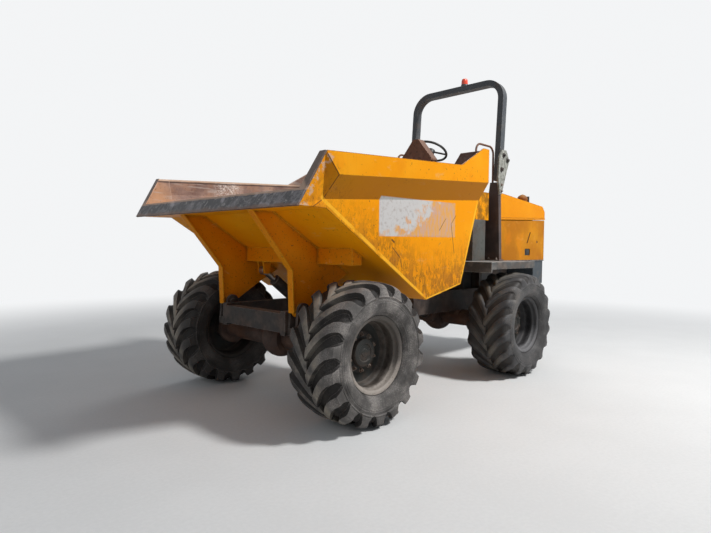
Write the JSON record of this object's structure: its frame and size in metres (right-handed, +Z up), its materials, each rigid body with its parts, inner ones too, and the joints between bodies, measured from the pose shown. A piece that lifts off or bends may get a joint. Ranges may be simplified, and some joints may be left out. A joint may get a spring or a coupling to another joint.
{
  "type": "site dumper",
  "caption": "Articulated site dumper with a forward-tipping skip, folding roll bar, lifting engine cover and large lugged tyres.",
  "frame": {"origin": "on the ground, under the middle of the machine's length and width", "axes": "+X forward, the way it tips, +Y to the driver's left, +Z up"},
  "size_m": [4.883, 2.45, 3.5397],
  "materials": {
    "yellow_paint": "worn orange-yellow paint",
    "frame_paint": "dark grey frame paint, dusty",
    "grey_paint": "light grey paint, scuffed",
    "worn_steel": "bare worn steel, browned",
    "rusty_casting": "rusty axle casting",
    "rod_steel": "polished rod",
    "tyre_rubber": "dusty black rubber",
    "rim_paint": "dark dusty rim",
    "black_plastic": "black plastic",
    "seat_vinyl": "black vinyl",
    "beacon_lens": "red-orange lens",
    "engine_grey": "engine block"
  },
  "bodies": {
    "front_chassis": {"front_frame": "frame_paint", "front_axle": "rusty_casting", "front_drive_shaft": "frame_paint"},
    "skip": {"skip_tub": "yellow_paint", "skip_mouth_edge": "worn_steel", "skip_ribs": "yellow_paint", "skip_cross_beam": "yellow_paint"},
    "tip_barrel_left": {"tip_ram_barrel_left": "frame_paint"},
    "tip_rod_left": {"tip_ram_rod_left": "rod_steel"},
    "tip_barrel_right": {"tip_ram_barrel_right": "frame_paint"},
    "tip_rod_right": {"tip_ram_rod_right": "rod_steel"},
    "steer_barrel": {"steer_ram_barrel": "frame_paint"},
    "steer_rod": {"steer_ram_rod": "rod_steel"},
    "rear_chassis": {"rear_frame": "frame_paint", "rear_axle": "rusty_casting", "rear_drive_shaft": "frame_paint", "engine_block": "engine_grey", "gearbox": "engine_grey", "deck": "grey_paint", "fenders": "grey_paint", "seat_base": "frame_paint", "seat_cushion": "seat_vinyl", "seat_backrest": "seat_vinyl", "side_consoles": "yellow_paint", "console_stands": "grey_paint", "grab_rails": "grey_paint", "dash_tower": "frame_paint", "steering_column": "black_plastic", "control_levers": "black_plastic", "engine_side_panels": "yellow_paint", "rear_grille": "yellow_paint", "rear_bumper": "grey_paint", "tow_hitch": "frame_paint", "rops_posts": "grey_paint"},
    "hood": {"hood_cover": "yellow_paint", "pre_cleaner": "rusty_casting", "exhaust_stub": "worn_steel"},
    "roll_bar": {"rops_hoop": "grey_paint", "beacon": "beacon_lens"},
    "hand_wheel": {"steering_wheel": "black_plastic"},
    "wheel_front_left": {"tyre_front_left": "tyre_rubber", "rim_front_left": "rim_paint"},
    "wheel_front_right": {"tyre_front_right": "tyre_rubber", "rim_front_right": "rim_paint"},
    "wheel_rear_left": {"tyre_rear_left": "tyre_rubber", "rim_rear_left": "rim_paint"},
    "wheel_rear_right": {"tyre_rear_right": "tyre_rubber", "rim_rear_right": "rim_paint"}
  },
  "joints": [
    {"name": "steer", "type": "hinge", "parent": "front_chassis", "child": "rear_chassis", "pos_m": [0.3885, 0, 0.645], "axis": [0, 0, 1], "range_deg": [-33, 33]},
    {"name": "tip", "type": "hinge", "parent": "front_chassis", "child": "skip", "pos_m": [1.8435, 0, 0.87], "axis": [0, 1, 0], "range_deg": [0, 70]},
    {"name": "tip_ram_swing_left", "type": "hinge", "parent": "front_chassis", "child": "tip_barrel_left", "pos_m": [0.9985, 0.3, 0.7], "axis": [0, 1, 0], "range_deg": [-0.5, 12.19]},
    {"name": "tip_ram_slide_left", "type": "slide", "parent": "tip_barrel_left", "child": "tip_rod_left", "axis": [0.7936, 0, 0.6084], "range_m": [0, 0.394]},
    {"name": "tip_ram_swing_right", "type": "hinge", "parent": "front_chassis", "child": "tip_barrel_right", "pos_m": [0.9985, -0.3, 0.7], "axis": [0, 1, 0], "range_deg": [-0.5, 12.19]},
    {"name": "tip_ram_slide_right", "type": "slide", "parent": "tip_barrel_right", "child": "tip_rod_right", "axis": [0.7936, 0, 0.6084], "range_m": [0, 0.394]},
    {"name": "steer_ram_swing", "type": "hinge", "parent": "front_chassis", "child": "steer_barrel", "pos_m": [0.8185, 0.3, 0.735], "axis": [0, 0, 1], "range_deg": [-9.21, 9.21]},
    {"name": "steer_ram_slide", "type": "slide", "parent": "steer_barrel", "child": "steer_rod", "axis": [-0.9954, -0.0963, 0], "range_m": [-0.1477, 0.1477]},
    {"name": "roll_bar_fold", "type": "hinge", "parent": "rear_chassis", "child": "roll_bar", "pos_m": [-1.2315, 0, 2.45], "axis": [0, 1, 0], "range_deg": [-90, 0]},
    {"name": "hood_lift", "type": "hinge", "parent": "rear_chassis", "child": "hood", "pos_m": [-2.3565, 0, 1.786], "axis": [0, -1, 0], "range_deg": [0, 60]},
    {"name": "hand_wheel_turn", "type": "hinge", "parent": "rear_chassis", "child": "hand_wheel", "pos_m": [-0.6415, 0, 2.56], "axis": [-0.4695, 0, 0.8829], "continuous": true},
    {"name": "roll_front_left", "type": "hinge", "parent": "front_chassis", "child": "wheel_front_left", "pos_m": [1.6185, 0.975, 0.565], "axis": [0, 1, 0], "continuous": true},
    {"name": "roll_front_right", "type": "hinge", "parent": "front_chassis", "child": "wheel_front_right", "pos_m": [1.6185, -0.975, 0.565], "axis": [0, 1, 0], "continuous": true},
    {"name": "roll_rear_left", "type": "hinge", "parent": "rear_chassis", "child": "wheel_rear_left", "pos_m": [-0.8415, 0.975, 0.565], "axis": [0, 1, 0], "continuous": true},
    {"name": "roll_rear_right", "type": "hinge", "parent": "rear_chassis", "child": "wheel_rear_right", "pos_m": [-0.8415, -0.975, 0.565], "axis": [0, 1, 0], "continuous": true}
  ],
  "couplings": [
    {"joint": "tip_ram_swing_left", "follows": "tip", "ratio": 0.167},
    {"joint": "tip_ram_slide_left", "follows": "tip", "m_per_rad": 0.32085},
    {"joint": "tip_ram_swing_right", "follows": "tip", "ratio": 0.167},
    {"joint": "tip_ram_slide_right", "follows": "tip", "m_per_rad": 0.32085},
    {"joint": "steer_ram_swing", "follows": "steer", "ratio": 0.264},
    {"joint": "steer_ram_slide", "follows": "steer", "m_per_rad": 0.2529}
  ]
}
